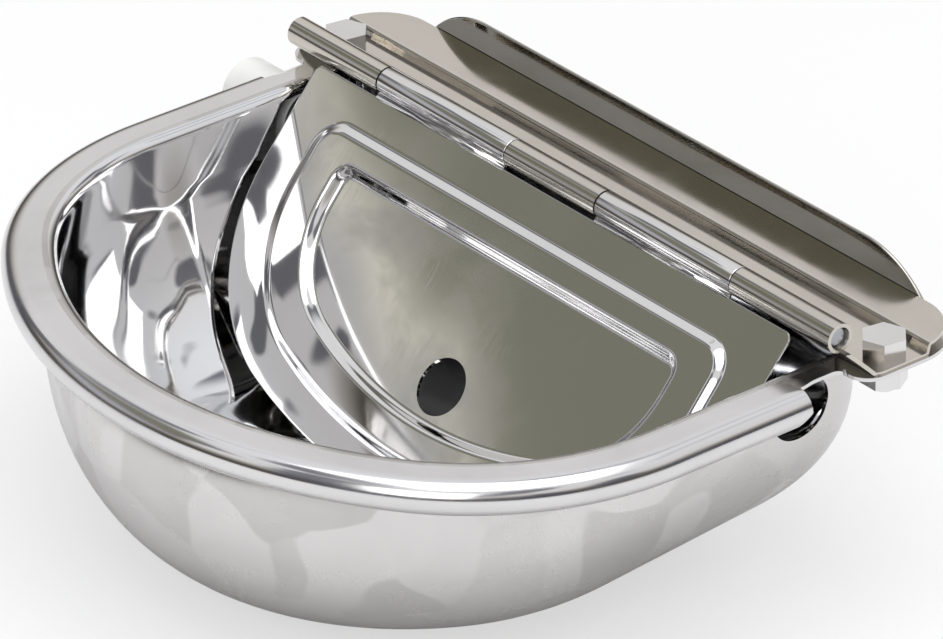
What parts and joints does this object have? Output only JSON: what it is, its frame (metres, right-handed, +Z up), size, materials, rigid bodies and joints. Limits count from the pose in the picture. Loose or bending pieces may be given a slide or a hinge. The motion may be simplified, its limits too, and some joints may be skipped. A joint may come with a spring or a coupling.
{
  "type": "livestock drinking bowl",
  "caption": "Pressed stainless wall drinker: deep D-shaped bowl with rolled rim, hinged sloping cover and a float valve fed through the side wall.",
  "frame": {"origin": "on the back of the upturned lip that goes against the wall, in the middle of the width, at the height of the hinge axis", "axes": "X along the hinge, -Y away from the wall, +Z up"},
  "size_m": [0.2974, 0.2221, 0.0985],
  "materials": {
    "bowl_steel": "polished drawn stainless sheet",
    "bracket_steel": "satin stainless sheet",
    "pin_steel": "drawn stainless rod",
    "fastener_steel": "machined stainless",
    "cover_steel": "mirror polished stainless sheet",
    "valve_plastic": "moulded white plastic",
    "plunger_plastic": "moulded white plastic",
    "lever_plastic": "moulded white plastic",
    "float_plastic": "blow moulded white plastic",
    "seal_rubber": "moulded rubber",
    "seat_brass": "turned brass"
  },
  "bodies": {
    "bowl": {"bowl": "bowl_steel", "hinge_bracket": "bracket_steel", "hinge_pin": "pin_steel", "bracket_bolts": "fastener_steel", "bracket_washers": "fastener_steel", "bracket_nuts": "fastener_steel", "valve_body": "valve_plastic", "inlet_gasket": "seal_rubber", "inlet_washer": "valve_plastic", "inlet_locknut": "valve_plastic", "valve_seat": "seat_brass", "lever_pin": "pin_steel"},
    "cover": {"cover": "cover_steel"},
    "lever": {"float_lever": "lever_plastic", "adjusting_screw": "seat_brass", "adjusting_nut": "seat_brass", "float_body": "float_plastic", "float_screws": "fastener_steel"},
    "plunger": {"plunger": "plunger_plastic", "plunger_seal": "seal_rubber"}
  },
  "joints": [
    {"name": "cover_hinge", "type": "hinge", "parent": "bowl", "child": "cover", "pos_m": [0, -0.0456, 0], "axis": [-1, 0, 0], "range_deg": [0, 150]},
    {"name": "lever_pivot", "type": "hinge", "parent": "bowl", "child": "lever", "pos_m": [-0.08772, -0.0499, -0.0362], "axis": [0, -1, 0], "range_deg": [0, 14]},
    {"name": "plunger_slide", "type": "slide", "parent": "bowl", "child": "plunger", "axis": [-1, 0, 0], "range_m": [0, 0.0021]}
  ],
  "couplings": [
    {"joint": "plunger_slide", "follows": "lever_pivot", "m_per_rad": 0.008}
  ]
}
